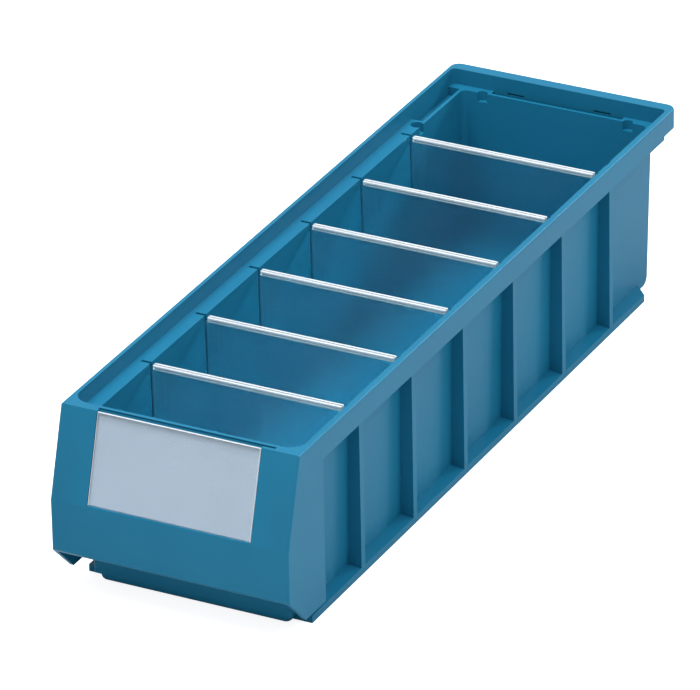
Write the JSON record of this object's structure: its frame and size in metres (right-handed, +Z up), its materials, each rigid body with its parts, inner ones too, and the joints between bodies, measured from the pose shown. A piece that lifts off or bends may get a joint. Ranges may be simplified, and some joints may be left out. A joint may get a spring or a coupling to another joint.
{
  "type": "stackable storage bin",
  "caption": "Long stackable shelf bin with a leaning label panel, stepped stacking rim, ribbed sides and clear lift-out cross dividers.",
  "frame": {"origin": "middle of the base, on the surface the bin stands on", "axes": "+Z up, +Y from the label front towards the back, +X to the right as seen from the front"},
  "size_m": [0.117, 0.4, 0.09],
  "materials": {
    "bin_plastic": "satin injection-moulded polypropylene, fine moulded texture",
    "clear_divider": "clear polystyrene, glossy",
    "card": "pale uncoated card",
    "clear_cover": "clear plastic sheet, satin"
  },
  "bodies": {
    "bin": {"bin_body": "bin_plastic"},
    "divider_1": {"divider_1": "clear_divider"},
    "divider_2": {"divider_2": "clear_divider"},
    "divider_3": {"divider_3": "clear_divider"},
    "divider_4": {"divider_4": "clear_divider"},
    "divider_5": {"divider_5": "clear_divider"},
    "divider_6": {"divider_6": "clear_divider"},
    "label_card": {"label_card": "card"},
    "label_cover": {"label_cover": "clear_cover"}
  },
  "joints": [
    {"name": "divider_1_lift", "type": "slide", "parent": "bin", "child": "divider_1", "axis": [0, 0, 1], "range_m": [0, 0.085]},
    {"name": "divider_2_lift", "type": "slide", "parent": "bin", "child": "divider_2", "axis": [0, 0, 1], "range_m": [0, 0.085]},
    {"name": "divider_3_lift", "type": "slide", "parent": "bin", "child": "divider_3", "axis": [0, 0, 1], "range_m": [0, 0.085]},
    {"name": "divider_4_lift", "type": "slide", "parent": "bin", "child": "divider_4", "axis": [0, 0, 1], "range_m": [0, 0.085]},
    {"name": "divider_5_lift", "type": "slide", "parent": "bin", "child": "divider_5", "axis": [0, 0, 1], "range_m": [0, 0.085]},
    {"name": "divider_6_lift", "type": "slide", "parent": "bin", "child": "divider_6", "axis": [0, 0, 1], "range_m": [0, 0.085]},
    {"name": "label_card_slide", "type": "slide", "parent": "bin", "child": "label_card", "axis": [0, 0.2894, 0.9572], "range_m": [0, 0.045]},
    {"name": "label_cover_slide", "type": "slide", "parent": "bin", "child": "label_cover", "axis": [0, 0.2894, 0.9572], "range_m": [0, 0.045]}
  ]
}
